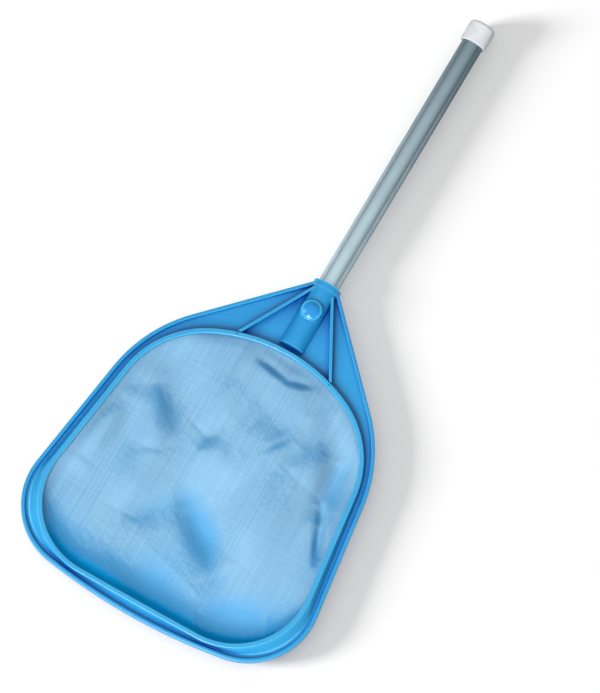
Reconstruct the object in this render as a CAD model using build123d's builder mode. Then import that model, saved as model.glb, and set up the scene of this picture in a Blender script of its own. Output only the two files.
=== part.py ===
from build123d import *
import os

# Leaf skimmer net with a short handle. Millimetres, +Z up.
# +Y runs along the handle towards its cap, and the net opens upwards.
# Places along the tool are given as distances from the collar's mouth, positive towards
# the leading edge. The origin is under the middle of the whole tool, on the floor.

# ---- handle ----
tube_diameter = 22.2
tube_wall = 1.0
handle_reach = 306.5
cap_length = 22.8
cap_wall = 2.35
cap_end_wall = 2.6
cap_rounding = 3.6
cap_mouth_rounding = 0.7

# ---- moulded head ----
head_length = 384.3
collar_wall = 3.7
collar_length = 7.0
socket_wall = 2.5
socket_length = 72.6
socket_end_wall = 2.5
web_thickness = 2.4
neck_margin = 0.2
neck_station = 3.6
shoulder_half = 134.5
shoulder_station = 126.6
corner_half = 167.1
front_bow = 23.3
shoulder_share = 0.39  # shares are of the head's length
corner_share = 0.1874
lip_width = 4.0
lip_height = 3.3
lip_depth = 2.4
lip_rounding = 1.4
lip_under_rounding = 1.2
rib_width = 2.6
rib_start = (10.5, 10.0)
rib_end = (53.0, 87.9)

# ---- net hoop ----
hoop_apex = 77.4
hoop_shoulder_gap = 9.0
hoop_shoulder_lag = 5.3
hoop_corner_gap = 10.5
hoop_front_gap = 10.4
hoop_bow = 2.0
hoop_shoulder_share = 0.26
hoop_corner_share = 0.208
hoop_width = 5.0
hoop_height = 7.5
hoop_wall = 1.4
hoop_roof = 1.6
hoop_rounding = 1.1
hoop_land = 1.2
ramp_foot = 0.6
ramp_corner_share = 0.169
ramp_lip_gap = 3.0

# ---- net ----
hem_thickness = 0.4
upstand_wall = 1.6
skirt_wall = 2.0
net_edge_drop = 5.0
net_skin = 0.8
net_depth = 12.5
net_middle_drop = 7.0
net_middle_scale = 0.84
net_floor_scale = 0.55

# ---- lock ----
button_station = 32.5
button_diameter = 17.6
button_dome = 2.6
button_travel = 2.2
bead_height = 0.8
bead_reach = 0.7
boss_wall = 1.1
boss_lip = 0.9
pocket_floor_wall = 0.9
pin_diameter = 6.3
pin_rounding = 0.8
spring_width = 8.0
spring_leaf = 0.8
spring_pad = 5.0
spring_reach = 46.0
spring_side_gap = 0.15

# ---- fits ----
socket_clearance = 0.05
cap_clearance = 0.05
pin_clearance = 0.08
button_clearance = 0.1
stop_gap = 0.05

# ---- worked out from the sizes above ----
tube_radius = tube_diameter / 2
collar_radius = tube_radius + collar_wall
socket_radius = tube_radius + socket_wall
bore_radius = tube_radius + socket_clearance
axis_height = collar_radius
mouth_y = head_length - (head_length + handle_reach) / 2
web_bottom = axis_height - web_thickness / 2
web_top = axis_height + web_thickness / 2
lip_top = web_top + lip_height
lip_bottom = web_bottom - lip_depth
hoop_top = web_top + hoop_height
hoop_ceiling = hoop_top - hoop_roof
upstand_top = hoop_ceiling - hem_thickness
net_edge = hoop_top - net_edge_drop
tube_inner_end = socket_length - socket_end_wall
tube_outer_end = -handle_reach + cap_end_wall
tube_length = tube_inner_end - tube_outer_end
shoulder_radius = shoulder_share * head_length
corner_radius = corner_share * head_length
hoop_shoulder_radius = hoop_shoulder_share * head_length
hoop_corner_radius = hoop_corner_share * head_length
ramp_corner_radius = ramp_corner_share * head_length
rim_neck = (collar_radius + neck_margin, neck_station)
rim_shoulder = (shoulder_half, shoulder_station)
rim_corner = (corner_half, head_length - front_bow)
hoop_shoulder = (shoulder_half - hoop_shoulder_gap, shoulder_station + hoop_shoulder_lag)
hoop_lead = head_length - hoop_front_gap
hoop_corner = (corner_half - hoop_corner_gap, hoop_lead - hoop_bow)

# Insets from the outer edge of the hoop's top, going inwards through the clamped stack.
inner_leg_inset = hoop_width - hoop_wall
upstand_inner_inset = inner_leg_inset - hem_thickness
upstand_outer_inset = upstand_inner_inset - upstand_wall
skirt_outer_inset = upstand_inner_inset - skirt_wall
channel_inset = upstand_outer_inset - hem_thickness

# Heights in the button's stack, from the tube upwards.
pocket_floor = axis_height + bore_radius + pocket_floor_wall
button_underside = pocket_floor + button_travel + stop_gap
bead_top = button_underside + bead_height
boss_top = bead_top + stop_gap + boss_lip
pin_tip = axis_height + tube_radius + button_travel
button_radius = button_diameter / 2
dome_top = boss_top + button_dome
dome_radius = (button_radius**2 + button_dome**2) / (2 * button_dome)
pocket_radius = button_radius + bead_reach + button_clearance
boss_radius = pocket_radius + boss_wall
pin_radius = pin_diameter / 2

os.makedirs("parts", exist_ok=True)


def at(x, along):
    """A point in plan: x across, and a distance from the collar's mouth."""
    return (x, mouth_y - along)


def across(station):
    """A plane square to the tube, at a distance from the collar's mouth, facing the leading edge."""
    return Plane((0, mouth_y - station, axis_height), x_dir=(1, 0, 0), z_dir=(0, -1, 0))


def hoop_face(apex, shoulder, corner, lead, corner_radius):
    """Outline of the net's hoop: arched towards the handle, flared sides, nearly straight front."""
    with BuildSketch() as sketch:
        with BuildLine():
            ThreePointArc(at(-shoulder[0], shoulder[1]), at(0, apex), at(*shoulder))
            Line(at(*shoulder), at(*corner))
            ThreePointArc(at(*corner), at(0, lead), at(-corner[0], corner[1]))
            Line(at(-corner[0], corner[1]), at(-shoulder[0], shoulder[1]))
        make_face()
        fillet(sketch.vertices().group_by(Axis.Y)[-1], hoop_shoulder_radius)
        fillet(sketch.vertices().group_by(Axis.Y)[0], corner_radius)
    return sketch.sketch


def inset_face(face, amount):
    """The same outline, moved inwards."""
    with BuildSketch() as sketch:
        add(face)
        offset(amount=-amount, mode=Mode.REPLACE)
    return sketch.sketch


def save(part, name):
    """Label a finished piece and write it."""
    part.label = name
    export_step(part, f"parts/{name}.step")


# Outline of the moulded rim: straight shoulders from the collar, flared sides, convex front.
with BuildSketch() as rim:
    with BuildLine():
        Polyline(
            at(-rim_corner[0], rim_corner[1]),
            at(-rim_shoulder[0], rim_shoulder[1]),
            at(-rim_neck[0], rim_neck[1]),
            at(*rim_neck),
            at(*rim_shoulder),
            at(*rim_corner),
        )
        ThreePointArc(at(*rim_corner), at(0, head_length), at(-rim_corner[0], rim_corner[1]))
    make_face()
    corners = rim.vertices().sort_by(Axis.Y)
    fillet(corners[2:4], shoulder_radius)
    fillet(rim.vertices().group_by(Axis.Y)[0], corner_radius)
rim_face = rim.sketch

crest_face = hoop_face(hoop_apex, hoop_shoulder, hoop_corner, hoop_lead, hoop_corner_radius)

# The hoop's foot keeps a set gap to the lip at the front, so its outer wall is a ramp there.
ramp_inset = lip_width + ramp_lip_gap
foot_face = hoop_face(
    hoop_apex - ramp_foot,
    (hoop_shoulder[0] + ramp_foot, hoop_shoulder[1] - ramp_foot),
    (rim_corner[0] - ramp_inset, rim_corner[1] - ramp_inset),
    head_length - ramp_inset,
    ramp_corner_radius,
)
opening_face = inset_face(crest_face, hoop_width)
upstand_outer_face = inset_face(crest_face, upstand_outer_inset)
upstand_inner_face = inset_face(crest_face, upstand_inner_inset)
skirt_outer_face = inset_face(crest_face, skirt_outer_inset)
channel_face = inset_face(crest_face, channel_inset)
inner_leg_face = inset_face(crest_face, inner_leg_inset)

# ---------------------------------------------------------------- head frame
with BuildPart() as head_frame:
    # Web plate and lip.
    with BuildSketch(Plane.XY.offset(lip_bottom)):
        add(rim_face)
    extrude(amount=lip_top - lip_bottom)
    with BuildSketch(Plane.XY.offset(web_top)):
        add(rim_face)
        offset(amount=-lip_width, mode=Mode.REPLACE)
    extrude(amount=lip_height, mode=Mode.SUBTRACT)
    with BuildSketch(Plane.XY.offset(lip_bottom)):
        add(rim_face)
        offset(amount=-lip_width, mode=Mode.REPLACE)
    extrude(amount=lip_depth, mode=Mode.SUBTRACT)
    fillet(head_frame.faces().sort_by(Axis.Z)[-1].edges(), lip_rounding)
    fillet(head_frame.faces().sort_by(Axis.Z)[0].edges(), lip_under_rounding)
    # Wall that carries the net, and its skirt down to the floor.
    with BuildSketch(Plane.XY.offset(web_bottom)):
        add(upstand_outer_face)
    extrude(amount=upstand_top - web_bottom)
    with BuildSketch():
        add(skirt_outer_face)
    extrude(amount=web_bottom)
    # Two ribs, standing as high as the hoop.
    with BuildSketch(Plane.XY.offset(web_bottom)):
        with BuildLine():
            Line(at(*rib_start), at(*rib_end))
            Line(at(-rib_start[0], rib_start[1]), at(-rib_end[0], rib_end[1]))
        trace(line_width=rib_width)
    extrude(amount=hoop_top - web_bottom)
    with BuildSketch(Plane.XY.offset(web_top)):
        add(foot_face)
        add(upstand_outer_face, mode=Mode.SUBTRACT)
    extrude(amount=hoop_height, mode=Mode.SUBTRACT)
    # Collar, socket and the button's boss.
    with BuildSketch(across(0)):
        Circle(collar_radius)
    extrude(amount=collar_length)
    with BuildSketch(across(0)):
        Circle(socket_radius)
    extrude(amount=socket_length)
    with BuildSketch(Plane.XY.offset(axis_height)):
        with Locations(at(0, button_station)):
            Circle(boss_radius)
    extrude(amount=boss_top - axis_height)
    fillet(head_frame.faces().sort_by(Axis.Z)[-1].edges(), boss_lip)
    # Tube bore, net opening, and the stepped hole for button and pin.
    with BuildSketch(across(0)):
        Circle(bore_radius)
    extrude(amount=tube_inner_end, mode=Mode.SUBTRACT)
    with BuildSketch():
        add(upstand_inner_face)
    extrude(amount=upstand_top, mode=Mode.SUBTRACT)
    with BuildSketch(Plane.XY.offset(axis_height)):
        with Locations(at(0, button_station)):
            Circle(pin_radius + pin_clearance)
    extrude(amount=pocket_floor - axis_height, mode=Mode.SUBTRACT)
    with BuildSketch(Plane.XY.offset(pocket_floor)):
        with Locations(at(0, button_station)):
            Circle(pocket_radius)
    extrude(amount=bead_top + stop_gap - pocket_floor, mode=Mode.SUBTRACT)
    with BuildSketch(Plane.XY.offset(pocket_floor)):
        with Locations(at(0, button_station)):
            Circle(button_radius + button_clearance)
    extrude(amount=boss_top - pocket_floor, mode=Mode.SUBTRACT)
save(head_frame.part, "head_frame")

# ---------------------------------------------------------------- net hoop
with BuildPart() as net_hoop:
    with BuildSketch(Plane.XY.offset(web_top)):
        add(foot_face)
    with BuildSketch(Plane.XY.offset(hoop_top - hoop_land)):
        add(crest_face)
    loft(ruled=True)
    with BuildSketch(Plane.XY.offset(hoop_top - hoop_land)):
        add(crest_face)
    extrude(amount=hoop_land)
    with BuildSketch(Plane.XY.offset(web_top)):
        add(opening_face)
    extrude(amount=hoop_height, mode=Mode.SUBTRACT)
    fillet(net_hoop.faces().sort_by(Axis.Z)[-1].edges(), hoop_rounding)
    with BuildSketch(Plane.XY.offset(web_top)):
        add(channel_face)
        add(inner_leg_face, mode=Mode.SUBTRACT)
    extrude(amount=hoop_ceiling - web_top, mode=Mode.SUBTRACT)
    with BuildSketch(Plane.XY.offset(web_top)):
        add(channel_face)
    extrude(amount=net_edge - web_top, mode=Mode.SUBTRACT)
save(net_hoop.part, "net_hoop")

# ---------------------------------------------------------------- net hem
with BuildPart() as net_hem:
    with BuildSketch(Plane.XY.offset(net_edge)):
        add(channel_face)
        add(inner_leg_face, mode=Mode.SUBTRACT)
    extrude(amount=hoop_ceiling - net_edge)
    with BuildSketch(Plane.XY.offset(net_edge)):
        add(upstand_outer_face)
        add(upstand_inner_face, mode=Mode.SUBTRACT)
    extrude(amount=upstand_top - net_edge, mode=Mode.SUBTRACT)
save(net_hem.part, "net_hem")

# ---------------------------------------------------------------- net mesh
net_centre_y = mouth_y - (hoop_apex + hoop_lead) / 2


def net_section(face, factor, height):
    """One outline of the dish, shrunk about the net's centre."""
    return scale(face, by=factor).moved(Location((0, net_centre_y * (1 - factor), height)))


with BuildPart() as net_mesh:
    with BuildSketch(Plane.XY.offset(net_edge - net_skin)):
        add(upstand_inner_face)
    extrude(amount=net_skin)
    loft(
        [
            net_section(upstand_inner_face, 1.0, net_edge - net_skin),
            net_section(upstand_inner_face, net_middle_scale, net_edge - net_middle_drop),
            net_section(upstand_inner_face, net_floor_scale, net_edge - net_depth),
        ],
        ruled=True,
    )
    loft(
        [
            net_section(opening_face, 1.0, net_edge),
            net_section(opening_face, net_middle_scale, net_edge - net_middle_drop + net_skin),
            net_section(opening_face, net_floor_scale, net_edge - net_depth + net_skin),
        ],
        ruled=True,
        mode=Mode.SUBTRACT,
    )
save(net_mesh.part, "net_mesh")

# ---------------------------------------------------------------- handle tube
with BuildPart() as handle_tube:
    with BuildSketch(across(tube_outer_end)):
        Circle(tube_radius)
        Circle(tube_radius - tube_wall, mode=Mode.SUBTRACT)
    extrude(amount=tube_length)
    with BuildSketch(Plane.XY.offset(axis_height)):
        with Locations(at(0, button_station)):
            Circle(pin_radius + pin_clearance)
    extrude(amount=tube_diameter, mode=Mode.SUBTRACT)
save(handle_tube.part, "handle_tube")

# ---------------------------------------------------------------- end cap
with BuildPart() as end_cap:
    with BuildSketch(across(-handle_reach)):
        Circle(tube_radius + cap_wall)
    extrude(amount=cap_length)
    fillet(end_cap.edges().group_by(Axis.Y)[-1], cap_rounding)
    fillet(end_cap.edges().group_by(Axis.Y)[0], cap_mouth_rounding)
    with BuildSketch(across(tube_outer_end)):
        Circle(tube_radius + cap_clearance)
    extrude(amount=cap_length, mode=Mode.SUBTRACT)
save(end_cap.part, "end_cap")

# ---------------------------------------------------------------- lock button
with BuildPart() as lock_button:
    with BuildSketch(Plane.YZ):
        with BuildLine():
            Polyline(
                (0, pin_tip),
                (pin_radius, pin_tip),
                (pin_radius, button_underside),
                (button_radius + bead_reach, button_underside),
                (button_radius + bead_reach, bead_top),
                (button_radius, bead_top),
                (button_radius, boss_top),
            )
            RadiusArc((button_radius, boss_top), (0, dome_top), -dome_radius)
            Line((0, dome_top), (0, pin_tip))
        make_face()
    revolve(axis=Axis.Z)
button_part = lock_button.part.moved(Location((0, mouth_y - button_station, 0)))
save(button_part, "lock_button")

# ---------------------------------------------------------------- lock pin and spring clip
leaf_half = spring_width / 2 + spring_side_gap
leaf_top = axis_height + ((tube_radius - tube_wall) ** 2 - leaf_half**2) ** 0.5
leaf_bottom = 2 * axis_height - leaf_top
with BuildPart() as lock_pin:
    with BuildSketch(Plane.XY.offset(leaf_top)):
        with Locations(at(0, button_station)):
            Circle(pin_radius)
    extrude(amount=pin_tip - leaf_top)
    fillet(lock_pin.edges().group_by(Axis.Z)[-1], pin_rounding)
save(lock_pin.part, "lock_pin")

with BuildPart() as spring_clip:
    with BuildSketch(Plane.YZ.offset(-spring_width / 2)):
        near = mouth_y - button_station - spring_pad
        far = mouth_y - button_station + spring_pad
        bend = mouth_y - button_station + spring_reach
        with BuildLine():
            Polyline(
                (near, leaf_bottom),
                (far, leaf_bottom),
                (bend, axis_height),
                (far, leaf_top),
                (near, leaf_top),
            )
            offset(amount=-spring_leaf, side=Side.LEFT)
        make_face()
    extrude(amount=spring_width)
save(spring_clip.part, "spring_clip")
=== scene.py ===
import math

import bmesh
import bpy
import numpy as np
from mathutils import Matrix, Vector
from mathutils.geometry import convex_hull_2d, delaunay_2d_cdt


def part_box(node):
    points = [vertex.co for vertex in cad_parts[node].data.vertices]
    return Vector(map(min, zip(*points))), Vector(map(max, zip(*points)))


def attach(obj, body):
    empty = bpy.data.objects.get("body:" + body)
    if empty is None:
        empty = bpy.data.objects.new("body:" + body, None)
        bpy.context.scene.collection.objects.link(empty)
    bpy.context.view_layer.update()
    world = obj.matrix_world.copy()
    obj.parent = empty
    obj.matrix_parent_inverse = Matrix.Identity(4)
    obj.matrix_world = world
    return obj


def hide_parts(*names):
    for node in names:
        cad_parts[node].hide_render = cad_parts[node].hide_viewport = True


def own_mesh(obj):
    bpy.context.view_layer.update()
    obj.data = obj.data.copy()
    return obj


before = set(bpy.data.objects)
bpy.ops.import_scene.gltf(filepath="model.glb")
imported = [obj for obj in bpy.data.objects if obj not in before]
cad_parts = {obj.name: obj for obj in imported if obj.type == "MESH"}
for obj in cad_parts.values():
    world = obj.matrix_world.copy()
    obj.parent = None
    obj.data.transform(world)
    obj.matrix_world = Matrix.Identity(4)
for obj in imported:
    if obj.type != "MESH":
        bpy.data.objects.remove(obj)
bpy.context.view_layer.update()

# ------------------------------------------------------------------ camera and stage
CAMERA_AZIMUTH = math.radians(30)
CAMERA_ELEVATION = math.radians(75)
LENS = 900.0  # long, so nearly no perspective
SENSOR = 36.0
FRAME_HEIGHT = 0.678  # what the picture's height covers at the object
AIM_RIGHT = 0.0080  # the tool's middle sits this far right of the picture's centre
AIM_UP = 0.0262  # and this far above it
WEB_HEIGHT = 0.0148  # the camera aims at the height of the head's web
FLOOR_SIZE = 14.0

scene = bpy.context.scene
scene.view_settings.view_transform = "Standard"


def direction(azimuth, elevation):
    """From the object towards something seen at this azimuth and elevation, in radians."""
    flat = math.cos(elevation)
    return Vector((math.sin(azimuth) * flat, -math.cos(azimuth) * flat, math.sin(elevation)))


def add_camera():
    back = direction(CAMERA_AZIMUTH, CAMERA_ELEVATION)
    right = Vector((math.cos(CAMERA_AZIMUTH), math.sin(CAMERA_AZIMUTH), 0))
    up = back.cross(right)
    data = bpy.data.cameras.new("camera")
    data.lens = LENS
    data.sensor_width = SENSOR
    data.clip_end = 100
    camera = bpy.data.objects.new("camera", data)
    target = Vector((0, 0, WEB_HEIGHT)) - right * AIM_RIGHT - up * AIM_UP
    camera.location = target + back * (FRAME_HEIGHT * LENS / SENSOR)
    camera.rotation_euler = back.to_track_quat("Z", "Y").to_euler()
    scene.collection.objects.link(camera)
    scene.camera = camera


def add_light(name, azimuth, elevation, distance, size, watts, colour=(1, 1, 1)):
    """A square softbox that faces the middle of the tool."""
    data = bpy.data.lights.new(name, "AREA")
    data.size = size
    data.energy = watts
    data.color = colour
    light = bpy.data.objects.new(name, data)
    back = direction(math.radians(azimuth), math.radians(elevation))
    light.location = back * distance
    light.rotation_euler = back.to_track_quat("Z", "Y").to_euler()
    scene.collection.objects.link(light)
    return light


def link_light(light, floor, state):
    """INCLUDE: the light falls on the floor only. EXCLUDE: on everything but the floor."""
    receivers = bpy.data.collections.new(light.name + "_receivers")
    receivers.objects.link(floor)
    receivers.collection_objects[0].light_linking.link_state = state
    light.light_linking.receiver_collection = receivers


def add_floor():
    mesh = bpy.data.meshes.new("floor")
    half = FLOOR_SIZE / 2
    corners = [(-half, -half, 0), (half, -half, 0), (half, half, 0), (-half, half, 0)]
    mesh.from_pydata(corners, [], [(0, 1, 2, 3)])
    floor = bpy.data.objects.new("floor", mesh)
    scene.collection.objects.link(floor)
    material = bpy.data.materials.new("floor_paint")
    material.use_nodes = True
    shader = material.node_tree.nodes["Principled BSDF"]
    shader.inputs["Base Color"].default_value = (0.72, 0.72, 0.72, 1)
    shader.inputs["Roughness"].default_value = 0.9
    shader.inputs["Emission Color"].default_value = (1, 1, 1, 1)
    shader.inputs["Emission Strength"].default_value = 0.25
    floor.data.materials.append(material)
    return floor


def add_world():
    """A tent of soft light, bright overhead and dim towards the horizon."""
    world = bpy.data.worlds.new("studio")
    world.use_nodes = True
    tree = world.node_tree
    height = tree.nodes.new("ShaderNodeSeparateXYZ")
    tree.links.new(tree.nodes.new("ShaderNodeTexCoord").outputs["Generated"], height.inputs[0])
    strength = tree.nodes.new("ShaderNodeMapRange")
    strength.interpolation_type = "SMOOTHSTEP"
    strength.inputs["From Min"].default_value = 0.1
    strength.inputs["To Min"].default_value = 0.12
    strength.inputs["To Max"].default_value = 0.8
    tree.links.new(height.outputs["Z"], strength.inputs["Value"])
    background = tree.nodes["Background"]
    background.inputs["Color"].default_value = (1, 1, 1, 1)
    tree.links.new(strength.outputs["Result"], background.inputs["Strength"])
    scene.world = world


add_camera()
floor = add_floor()
add_world()
link_light(add_light("key", 4, 39, 6, 3.2, 380), floor, "EXCLUDE")
link_light(add_light("glint", -4, 54, 6, 0.5, 70), floor, "EXCLUDE")
link_light(add_light("fill", -70, 40, 6, 2.4, 60), floor, "EXCLUDE")
link_light(add_light("shadow", -54, 20, 6, 1.6, 580), floor, "INCLUDE")


# ------------------------------------------------------------------ material helpers
class Nodes:
    """Builds one node material, a call per node."""

    def __init__(self, name):
        self.material = bpy.data.materials.new(name)
        self.material.use_nodes = True
        self.tree = self.material.node_tree
        self.shader = self.tree.nodes["Principled BSDF"]
        self.place = self.add("ShaderNodeTexCoord").outputs["Object"]

    def add(self, kind, **values):
        """A node with its properties and input values set; a value may be another node's output."""
        node = self.tree.nodes.new(kind)
        for key, value in values.items():
            if key in node.inputs:
                self.put(node.inputs[key], value)
            else:
                setattr(node, key, value)
        return node

    def put(self, socket, value):
        if isinstance(value, bpy.types.NodeSocket):
            self.tree.links.new(value, socket)
        else:
            socket.default_value = value

    def set(self, **values):
        """Sets the shader's sockets; an underscore stands for a space."""
        for key, value in values.items():
            self.put(self.shader.inputs[key.replace("_", " ")], value)

    def stretched(self, scale):
        """Object coordinates times a scale for each axis."""
        node = self.add("ShaderNodeMapping")
        node.inputs["Scale"].default_value = scale
        self.tree.links.new(self.place, node.inputs["Vector"])
        return node.outputs["Vector"]

    def split(self, vector):
        """The X, Y and Z outputs of a vector."""
        node = self.add("ShaderNodeSeparateXYZ")
        self.tree.links.new(vector, node.inputs[0])
        return node.outputs

    def upward(self):
        """1 where the surface faces up, 0 where it stands upright."""
        return self.split(self.add("ShaderNodeNewGeometry").outputs["Normal"])["Z"]

    def attribute(self, name):
        """A number stored on the mesh's points."""
        return self.add("ShaderNodeAttribute", attribute_name=name).outputs["Fac"]

    def noise(self, scale, detail=3.0, roughness=0.55, where=None):
        node = self.add("ShaderNodeTexNoise", Scale=scale, Detail=detail, Roughness=roughness)
        self.tree.links.new(where or self.place, node.inputs["Vector"])
        return node.outputs["Fac"]

    def math(self, operation, a, b=0.0, clamp=False):
        node = self.add("ShaderNodeMath", operation=operation, use_clamp=clamp)
        self.put(node.inputs[0], a)
        self.put(node.inputs[1], b)
        return node.outputs[0]

    def ramp(self, value, low, high, start=0.0, end=1.0):
        """Maps value from the range start..end to low..high."""
        node = self.add("ShaderNodeMapRange")
        self.put(node.inputs["Value"], value)
        node.inputs["From Min"].default_value = start
        node.inputs["From Max"].default_value = end
        node.inputs["To Min"].default_value = low
        node.inputs["To Max"].default_value = high
        return node.outputs["Result"]

    def blend(self, factor, a, b):
        """A colour between a and b."""
        node = self.add("ShaderNodeMix", data_type="RGBA")
        self.put(node.inputs[0], factor)
        self.put(node.inputs[6], a)
        self.put(node.inputs[7], b)
        return node.outputs[2]

    def edges(self, reach):
        """1 along the part's edges, falling to 0 this far from them."""
        bevel = self.add("ShaderNodeBevel", samples=4, Radius=reach)
        true = self.add("ShaderNodeNewGeometry").outputs["Normal"]
        match = self.add("ShaderNodeVectorMath", operation="DOT_PRODUCT")
        self.tree.links.new(bevel.outputs["Normal"], match.inputs[0])
        self.tree.links.new(true, match.inputs[1])
        return self.ramp(match.outputs["Value"], 1, 0, 0.8, 0.995)

    def bump(self, height, strength, distance, under=None):
        node = self.add("ShaderNodeBump")
        node.inputs["Strength"].default_value = strength
        node.inputs["Distance"].default_value = distance
        self.tree.links.new(height, node.inputs["Height"])
        if under:
            self.tree.links.new(under, node.inputs["Normal"])
        return node.outputs["Normal"]


def srgb(red, green, blue):
    """A colour given as it looks on screen, 0 to 255, as the shader's linear value."""
    return tuple((c / 255) ** 2.2 for c in (red, green, blue)) + (1.0,)


def moulded_plastic(name, colour, pale, painted_edge_highlight, painted_groove_shade, gloss_low, gloss_high):
    """Injection-moulded polypropylene: faint flow marks, fine texture, painted highlights on edges and
    roundings, painted shade in the grooves.
    """
    m = Nodes(name)
    flow = m.noise(14, detail=4)
    # painted highlight: a pale band along every edge
    edge_highlight_mask = m.edges(0.0016)
    open_sky = m.add("ShaderNodeAmbientOcclusion", samples=6, Distance=0.014).outputs["AO"]
    mixed = m.blend(m.ramp(flow, 0, 0.35, 0.35, 0.7), colour, pale)
    upward = m.upward()
    off_wall = m.ramp(upward, 0, 1, 0.3, 0.6)
    off_flat = m.ramp(upward, 1, 0, 0.9, 0.995)
    # painted highlight: a pale band on roundings that face partly upwards
    rounding_highlight_mask = m.math("MULTIPLY", m.math("MULTIPLY", off_wall, off_flat), m.edges(0.003))
    painted_highlight_mask = m.math("MAXIMUM", m.math("MULTIPLY", edge_highlight_mask, 0.8), m.math("MULTIPLY", rounding_highlight_mask, 0.85))
    # the painted highlights lighten the plastic's colour
    surface = m.blend(painted_highlight_mask, mixed, painted_edge_highlight)
    # painted shade: occluded grooves and corners darkened towards a navy colour
    m.set(Base_Color=m.blend(m.ramp(open_sky, 1, 0, 0.34, 0.8), surface, painted_groove_shade))
    m.set(Specular_IOR_Level=m.ramp(open_sky, 0.1, 0.5, 0.3, 0.72))
    grain = m.noise(900, detail=2)
    scuffs = m.noise(1, detail=5, where=m.stretched((220, 40, 120)))
    m.set(Roughness=m.ramp(scuffs, gloss_low, gloss_high, 0.3, 0.75))
    skin = m.bump(grain, 0.12, 0.0002)
    m.set(Normal=m.bump(flow, 0.08, 0.002, under=skin))
    m.set(IOR=1.49, Subsurface_Weight=0.08, Subsurface_Scale=0.004)
    return m.material


def drawn_aluminium():
    """Drawn and anodised tube: long fine die lines, small dull blotches, painted shade darkening it towards
    its far end and down its sides.
    """
    m = Nodes("drawn_aluminium")
    lines = m.noise(1, detail=6, roughness=0.7, where=m.stretched((1500, 6, 1500)))
    cloud = m.noise(45, detail=3)
    # painted shade: the tube grows darker towards the cap end and on its sides
    far_end_shade_mask = m.ramp(m.split(m.place)["Y"], 0, 0.75, 0.06, 0.34)
    metal = m.blend(m.ramp(cloud, 0, 1, 0.35, 0.7), srgb(208, 234, 243), srgb(196, 220, 231))
    side_shade_mask = m.ramp(m.upward(), 1, 0, 0.3, 0.85)
    painted_shade_mask = m.math("ADD", far_end_shade_mask, m.math("MULTIPLY", side_shade_mask, 0.5), clamp=True)
    m.set(Base_Color=m.blend(painted_shade_mask, metal, srgb(92, 114, 124)))
    rough = m.math("ADD", m.ramp(lines, 0.0, 0.12, 0.3, 0.7), m.ramp(cloud, 0.3, 0.38, 0.3, 0.7))
    m.set(Metallic=1.0, Roughness=rough)
    m.set(Normal=m.bump(lines, 0.25, 0.0001))
    return m.material


def milky_plastic():
    """Soft translucent white plastic of the slip-over cap, with painted shade greying its sides."""
    m = Nodes("milky_plastic")
    cloud = m.noise(60, detail=3)
    milk = m.blend(m.ramp(cloud, 0, 1, 0.35, 0.7), srgb(211, 213, 216), srgb(197, 200, 205))
    # painted shade: faces that turn sideways are greyed
    m.set(Base_Color=m.blend(m.ramp(m.upward(), 0.9, 0, 0.15, 0.7), milk, srgb(150, 162, 168)))
    m.set(Roughness=m.ramp(cloud, 0.36, 0.5, 0.3, 0.7))
    m.set(Subsurface_Weight=0.45, Subsurface_Radius=(0.004, 0.004, 0.0045), Subsurface_Scale=1.0)
    m.set(Normal=m.bump(m.noise(700, detail=2), 0.08, 0.0002))
    return m.material


def spring_steel():
    """Stainless leaf and pin: short brushed lines."""
    m = Nodes("spring_steel")
    lines = m.noise(1, detail=4, where=m.stretched((1200, 90, 1200)))
    m.set(Base_Color=m.blend(lines, srgb(176, 178, 180), srgb(206, 207, 208)))
    m.set(Metallic=1.0, Roughness=m.ramp(lines, 0.25, 0.42, 0.3, 0.7))
    m.set(Normal=m.bump(lines, 0.2, 0.0001))
    return m.material


THREAD_PITCH = 0.0013
FOLD_RELIEF = 1.25  # how much steeper the folds are shaded than they are


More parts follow.
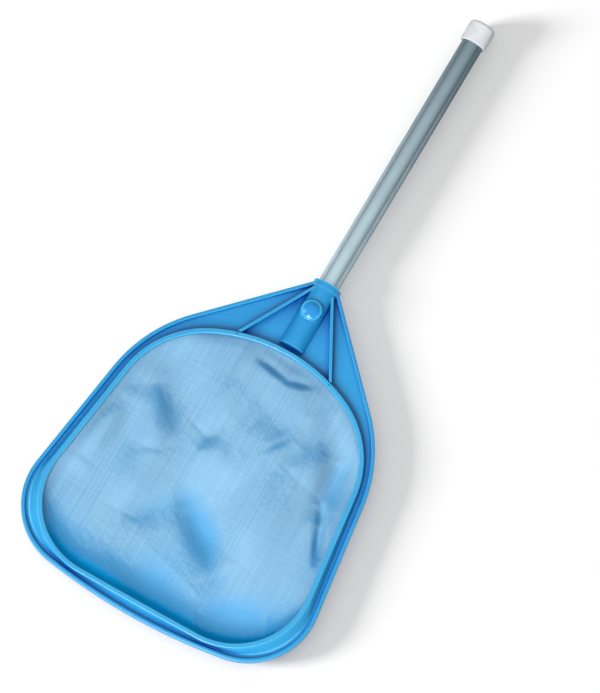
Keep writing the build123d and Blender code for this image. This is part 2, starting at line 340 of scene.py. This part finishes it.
def woven_net(name):
    """Plain-woven monofilament net, square to the tool: threads over and under, with open holes."""
    m = Nodes(name)
    pitch = 2 * math.pi / THREAD_PITCH
    place = m.split(m.place)
    wave = {}
    half_wave = {}
    for axis in ("X", "Y"):
        wave[axis] = m.ramp(m.math("SINE", m.math("MULTIPLY", place[axis], pitch)), 0, 1, -1, 1)
        half_wave[axis] = m.math("SINE", m.math("MULTIPLY", place[axis], pitch / 2))
    over = m.math("MULTIPLY", half_wave["X"], half_wave["Y"])
    thread = m.math("MAXIMUM", wave["X"], wave["Y"])
    height = m.math("ADD", thread, m.math("MULTIPLY", over, 0.3))
    streaks = m.noise(1, detail=4, where=m.stretched((420, 9, 9)))
    cross_streaks = m.noise(1, detail=3, where=m.stretched((9, 300, 9)))
    weave = m.ramp(m.math("ADD", streaks, m.math("MULTIPLY", cross_streaks, 0.4)), 0, 1, 0.5, 0.95)
    # painted shade: cloth leaning away from the key light is blended to a deeper blue
    slope_shade = m.ramp(m.attribute("slope_shade"), 0, 1, 0.01, 0.15)
    uneven = m.math("MULTIPLY", m.math("SUBTRACT", m.noise(260, detail=2), 0.5), 0.4)
    # painted shade: a solid deep blue band inside the leading edge, where the hoop's front shades the net; it
    # is also made opaque and less glossy there
    closed = m.ramp(m.math("ADD", m.attribute("front_shade"), uneven), 0, 1, 0.2, 0.64)
    folds = m.attribute("fold")
    pale = m.blend(weave, srgb(102, 153, 189), srgb(122, 168, 195))
    shade = m.blend(slope_shade, pale, srgb(44, 128, 180))
    # painted shade: fold valleys blended to a deeper blue
    shade = m.blend(m.ramp(folds, 0.85, 0, -0.0036, 0.0), shade, srgb(50, 142, 196))
    shade = m.blend(closed, shade, srgb(4, 146, 212))
    m.set(Base_Color=m.blend(m.ramp(thread, 0.26, 0.0, 0.25, 0.8), shade, srgb(36, 122, 182)))
    m.set(Alpha=m.math("MAXIMUM", m.ramp(thread, 0.55, 1.0, 0.2, 0.6), closed))
    m.set(Roughness=m.ramp(weave, 0.5, 0.68, 0, 1))
    m.set(Sheen_Weight=m.ramp(closed, 0.25, 0), Sheen_Roughness=0.4)
    m.set(Specular_IOR_Level=m.ramp(closed, 0.4, 0.04))
    m.set(Normal=m.bump(height, 0.28, 0.00025, under=m.bump(folds, 1.0, FOLD_RELIEF)))
    return m.material


# ------------------------------------------------------------------ CAD nodes' finishes
# The fourth colour of each finish is its painted edge highlight, the fifth its painted groove shade.
blue_frame = moulded_plastic("blue_frame", srgb(26, 128, 185), srgb(50, 151, 202), srgb(72, 198, 232),
                             srgb(0, 72, 150), 0.26, 0.42)
blue_hoop = moulded_plastic("blue_hoop", srgb(44, 139, 190), srgb(66, 164, 206), srgb(106, 208, 238),
                            srgb(0, 78, 156), 0.18, 0.3)
blue_button = moulded_plastic("blue_button", srgb(20, 124, 190), srgb(44, 148, 206), srgb(80, 190, 240),
                              srgb(0, 78, 156), 0.1, 0.18)
finishes = {
    "head_frame": blue_frame,
    "net_hoop": blue_hoop,
    "lock_button": blue_button,
    "handle_tube": drawn_aluminium(),
    "end_cap": milky_plastic(),
    "lock_pin": spring_steel(),
    "spring_clip": spring_steel(),
    "net_hem": woven_net("hem_weave"),
}
for node, material in finishes.items():
    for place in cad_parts[node].material_slots:
        place.material = material

# ------------------------------------------------------------------ net
GRID = 0.0026  # spacing of the cloth's points
CLEAR_OF_EDGE = 0.6  # inner points stay this share of the spacing away from the edge
HELD_BAND = 0.0008  # points this close to the edge are held
EDGE_MARGIN = 0.0006  # the cloth stops this far inside the wall that carries it
EDGE_DROP = 0.0012  # the cloth starts this far under the hoop's inner leg
SAG = 0.0081  # how deep the cloth hangs in the middle, before its folds
BOWL_WIDTH = 0.014  # how fast the cloth falls away from its edge
FOLD_MARGIN = 0.012  # folds die out this close to the edge
FRONT_SHADE_WIDTH = 0.016  # painted shade reaches this far in from the leading edge
CLOTH_FRAMES = 5  # few, so that the folds settle and aren't pulled flat
SHADE_LIGHT_FROM = np.array([0.2, -0.98])  # the key light's way in plan; cloth leaning away from it gets painted shade

low, high = (Vector(c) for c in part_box("net_mesh"))
net_top = high.z
net_centre = (low + high) / 2
half_width = (high.x - low.x) / 2
half_length = (high.y - low.y) / 2


def net_outline():
    """The net's outer edge in plan, taken from the CAD dish."""
    plan = [v.co.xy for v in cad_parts["net_mesh"].data.vertices]
    return np.array([plan[k] for k in convex_hull_2d(plan)])


# Folds of the slack cloth: start and end across and along the net, as shares of its half width and
# half length (0, 0 in the middle, 1 towards the leading edge), then height and width in metres.
# A negative height is a valley.
FOLDS = {
    "left ridge, upper end": ((-0.70, -0.40), (-0.45, 0.00), 0.0045, 0.018),
    "left ridge, lower end": ((-0.50, 0.00), (-0.45, 0.50), 0.0035, 0.024),
    "left side swelling": ((-0.80, -0.20), (-0.85, 0.30), 0.0045, 0.014),
    "upper middle ridge": ((-0.40, -0.60), (0.05, -0.45), 0.0055, 0.022),
    "dip beside it": ((-0.25, -0.55), (0.05, -0.45), -0.0015, 0.013),
    "centre swelling": ((-0.20, -0.20), (0.20, -0.10), 0.0045, 0.024),
    "upper right swelling": ((-0.05, -0.35), (0.50, -0.45), 0.0075, 0.032),
    "dip across it": ((0.05, -0.25), (0.30, -0.60), -0.0020, 0.017),
    "right swelling": ((0.50, -0.30), (0.35, 0.40), 0.0065, 0.032),
    "ridge below the handle": ((-0.45, -0.80), (0.70, -0.70), 0.0060, 0.025),
    "lift at the hoop": ((-0.20, -0.85), (0.30, -0.85), 0.0015, 0.011),
    "V valley, left arm": ((-0.15, 0.25), (-0.45, 0.50), -0.0020, 0.017),
    "V valley, right arm": ((-0.05, 0.20), (0.35, 0.55), -0.0045, 0.016),
    "V valley, inner slope": ((0.15, 0.20), (0.40, 0.45), -0.0025, 0.016),
    "front hollow": ((0.05, 0.65), (-0.05, 1.00), -0.0035, 0.032),
    "front right hollow": ((0.85, 0.70), (0.40, 0.95), -0.0055, 0.032),
    "front left hollow": ((-0.95, 0.65), (-0.50, 0.90), -0.0015, 0.020),
    "right curve, upper end": ((0.45, -0.80), (0.70, -0.55), -0.0035, 0.018),
    "right curve, lower end": ((0.70, -0.55), (0.75, -0.20), -0.0040, 0.014),
    "right crease": ((0.75, -0.20), (0.90, 0.10), -0.0020, 0.0045),
    "right crease, tail": ((0.80, -0.05), (0.90, 0.15), -0.0015, 0.0040),
    "middle pucker": ((-0.25, -0.15), (-0.15, -0.35), -0.0020, 0.012),
    "right pucker": ((0.35, -0.30), (0.40, -0.50), -0.0020, 0.012),
    "crease by the hoop": ((-0.15, -0.90), (0.10, -0.85), -0.0010, 0.005),
    "its far end": ((0.10, -0.85), (0.25, -0.90), -0.0010, 0.005),
    "fine left crease": ((-0.35, -0.30), (-0.20, -0.25), -0.0005, 0.0035),
    "fine right crease": ((0.20, -0.35), (0.30, -0.50), -0.0005, 0.0035),
}


def fold_height(x, y):
    """Sum of the sculpted folds at points in plan."""
    total = np.zeros_like(x)
    for (ua, va), (ub, vb), depth, width in FOLDS.values():
        ax, ay = net_centre.x + ua * half_width, net_centre.y - va * half_length
        bx, by = net_centre.x + ub * half_width, net_centre.y - vb * half_length
        dx, dy = bx - ax, by - ay
        run = np.clip(((x - ax) * dx + (y - ay) * dy) / (dx * dx + dy * dy), 0, 1)
        gap = np.hypot(x - ax - run * dx, y - ay - run * dy)
        taper = 0.45 + 0.55 * np.sin(np.pi * np.clip(run, 0.02, 0.98))
        total += depth * taper * np.exp(-((gap / width) ** 2))
    return total


def edge_distance(points, outline):
    """Distance from each point in plan to the outline, positive inside."""
    ends = np.roll(outline, -1, axis=0)
    nearest = np.full(len(points), 1e9)
    crossings = np.zeros(len(points), int)
    for a, b in zip(outline, ends):
        edge = b - a
        run = np.clip(((points - a) @ edge) / max(edge @ edge, 1e-18), 0, 1)
        foot = a + run[:, None] * edge
        nearest = np.minimum(nearest, np.hypot(*(points - foot).T))
        if a[1] != b[1]:
            spans = (a[1] > points[:, 1]) != (b[1] > points[:, 1])
            meet = a[0] + (points[:, 1] - a[1]) / (b[1] - a[1]) * edge[0]
            crossings += spans & (points[:, 0] < meet)
    return np.where(crossings % 2 == 1, nearest, -nearest)


def resampled(outline, spacing):
    """Points evenly spaced round a closed outline."""
    closed = np.vstack([outline, outline[:1]])
    travel = np.concatenate([[0], np.cumsum(np.hypot(*np.diff(closed, axis=0).T))])
    stops = np.arange(0, travel[-1] - spacing / 2, spacing)
    return np.column_stack([np.interp(stops, travel, closed[:, k]) for k in (0, 1)])


def net_sheet():
    """The net's cloth: square cells inside, with triangles joining them to the outline."""
    outline = net_outline()
    to_centre = np.array(net_centre.xy) - outline
    outline = outline + to_centre / np.linalg.norm(to_centre, axis=1)[:, None] * EDGE_MARGIN
    edge = resampled(outline, GRID)
    xs = np.arange(net_centre.x - half_width, net_centre.x + half_width, GRID)
    ys = np.arange(net_centre.y - half_length, net_centre.y + half_length, GRID)
    grid = np.array([(x, y) for y in ys for x in xs])
    grid = grid[edge_distance(grid, edge) > CLEAR_OF_EDGE * GRID]
    points = [Vector(p) for p in np.vstack([edge, grid])]
    border = [(k, (k + 1) % len(edge)) for k in range(len(edge))]
    flat = delaunay_2d_cdt(points, border, [], 1, 1e-7)
    mesh = bmesh.new()
    for p in flat[0]:
        mesh.verts.new((p.x, p.y, net_top))
    mesh.verts.ensure_lookup_table()
    for face in flat[2]:
        mesh.faces.new([mesh.verts[k] for k in face])
    bmesh.ops.join_triangles(mesh, faces=mesh.faces, angle_face_threshold=0.01,
                             angle_shape_threshold=0.35)
    data = bpy.data.meshes.new("net_cloth")
    mesh.to_mesh(data)
    mesh.free()
    places = np.array([v.co[:] for v in data.vertices])
    depth = np.clip(edge_distance(places[:, :2], edge), 0, None)
    bowl = 1 - np.exp(-depth / BOWL_WIDTH)
    fade = 1 - np.clip(1 - depth / FOLD_MARGIN, 0, 1) ** 2
    folds = fold_height(places[:, 0], places[:, 1]) * fade
    places[:, 2] += -EDGE_DROP - SAG * bowl + folds
    data.vertices.foreach_set("co", places.ravel())
    data.attributes.new("fold", "FLOAT", "POINT").data.foreach_set("value", folds)
    data.attributes.new("depth", "FLOAT", "POINT").data.foreach_set("value", depth)
    data.update()
    cloth = bpy.data.objects.new("net_cloth", data)
    scene.collection.objects.link(cloth)
    return cloth, depth


def relax_cloth(cloth, depth):
    """Cloth simulation under the net's own weight, held round its edge."""
    held = cloth.vertex_groups.new(name="held")
    held.add([int(i) for i in np.where(depth < HELD_BAND)[0]], 1.0, "REPLACE")
    modifier = cloth.modifiers.new("cloth", "CLOTH")
    settings = modifier.settings
    settings.quality = 8
    settings.mass = 0.0006
    settings.tension_stiffness = 12
    settings.compression_stiffness = 4
    settings.shear_stiffness = 3
    settings.bending_stiffness = 2.0
    settings.air_damping = 2
    settings.vertex_group_mass = "held"
    modifier.collision_settings.use_collision = False
    modifier.collision_settings.use_self_collision = False
    for frame_number in range(1, CLOTH_FRAMES + 1):
        scene.frame_set(frame_number)
    bpy.context.view_layer.objects.active = cloth
    cloth.select_set(True)
    bpy.ops.object.modifier_apply(modifier="cloth")
    scene.frame_set(1)


def mark_painted_shade(cloth):
    """Marks the painted shade: cloth leaning away from the key light, and a band inside the leading edge that
    faces away from it.
    """
    normals = np.array([v.normal[:2] for v in cloth.data.vertices])
    forward = np.array([(net_centre.y - v.co.y) / half_length for v in cloth.data.vertices])
    lean = -(normals @ SHADE_LIGHT_FROM)
    # painted shade: how far each point leans away from the key light
    values = np.clip(lean - np.median(lean), 0, None)
    cloth.data.attributes.new("slope_shade", "FLOAT", "POINT").data.foreach_set("value", values)
    depth = np.zeros(len(lean))
    cloth.data.attributes["depth"].data.foreach_get("value", depth)
    facing = np.clip(lean / np.maximum(np.hypot(*normals.T), 1e-6), 0, 1)
    # painted shade: a band inside the leading edge, on cloth facing away from the key light
    front_shade = facing * np.clip(2 * forward, 0, 1) * np.exp(-((depth / FRONT_SHADE_WIDTH) ** 2))
    cloth.data.attributes.new("front_shade", "FLOAT", "POINT").data.foreach_set("value", front_shade)


def smooth_cloth(cloth):
    """One level of subdivision, so that folds are shaded smoothly."""
    modifier = cloth.modifiers.new("finer", "SUBSURF")
    modifier.levels = 1
    bpy.context.view_layer.objects.active = cloth
    bpy.ops.object.modifier_apply(modifier="finer")


net, edge_depth = net_sheet()
relax_cloth(net, edge_depth)
smooth_cloth(net)
mark_painted_shade(net)
for polygon in net.data.polygons:
    polygon.use_smooth = True
net.data.materials.append(woven_net("net_weave"))
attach(net, "skimmer")
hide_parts("net_mesh")

# ------------------------------------------------------------------ spring clip
LEAF = 0.0008  # the strip's thickness
ARM_FLAT = 0.010  # the straight seat of each arm
CLIP_BEND = 0.0022  # radius of the strip's middle at its bend
KNEE_STEP = 0.0006  # between the points that round each arm's knee
KNEE_EASE = 0.6  # share of the arm's slope that the knee takes


def clip_path():
    """The bent strip seen from the side: along y and z, through the middle of the leaf."""
    first, last = (Vector(c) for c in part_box("spring_clip"))
    middle = (first.z + last.z) / 2
    rise = (last.z - first.z - LEAF) / 2
    tip = last.y - LEAF / 2 - CLIP_BEND
    knee = first.y + ARM_FLAT
    path = [(first.y, -rise)]
    slope = math.atan2(rise - CLIP_BEND, tip - knee)
    for step in (-2, -1, 0, 1, 2):
        path.append((knee + step * KNEE_STEP, -rise + max(step, 0) * KNEE_STEP * math.tan(slope) * KNEE_EASE))
    for step in range(9):
        turn = -math.pi / 2 + slope + (math.pi - 2 * slope) * step / 8
        path.append((tip + CLIP_BEND * math.cos(turn), CLIP_BEND * math.sin(turn)))
    path += [(y, -z) for y, z in reversed(path[:6])]
    return [(y, middle + z) for y, z in path], (last.x - first.x) / 2


def spring_clip():
    """Strip steel bent double, with softened edges."""
    path, half = clip_path()
    section = [(-half, -0.3), (-half + 0.0003, -0.5), (half - 0.0003, -0.5), (half, -0.3),
               (half, 0.3), (half - 0.0003, 0.5), (-half + 0.0003, 0.5), (-half, 0.3)]
    mesh = bmesh.new()
    rings = []
    for k, (y, z) in enumerate(path):
        before, after = path[max(k - 1, 0)], path[min(k + 1, len(path) - 1)]
        along = Vector((after[0] - before[0], after[1] - before[1])).normalized()
        out = Vector((-along.y, along.x))
        ring = [(x, y + out.x * t * LEAF, z + out.y * t * LEAF) for x, t in section]
        rings.append([mesh.verts.new(corner) for corner in ring])
    count = len(section)
    for a, b in zip(rings, rings[1:]):
        for k in range(count):
            mesh.faces.new([a[k], a[(k + 1) % count], b[(k + 1) % count], b[k]])
    mesh.faces.new(rings[0][::-1])
    mesh.faces.new(rings[-1])
    bmesh.ops.recalc_face_normals(mesh, faces=mesh.faces)
    data = bpy.data.meshes.new("clip_strip")
    mesh.to_mesh(data)
    mesh.free()
    clip = bpy.data.objects.new("clip_strip", data)
    scene.collection.objects.link(clip)
    data.materials.append(finishes["spring_clip"])
    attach(clip, "skimmer")
    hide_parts("spring_clip")
    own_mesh(clip)


spring_clip()
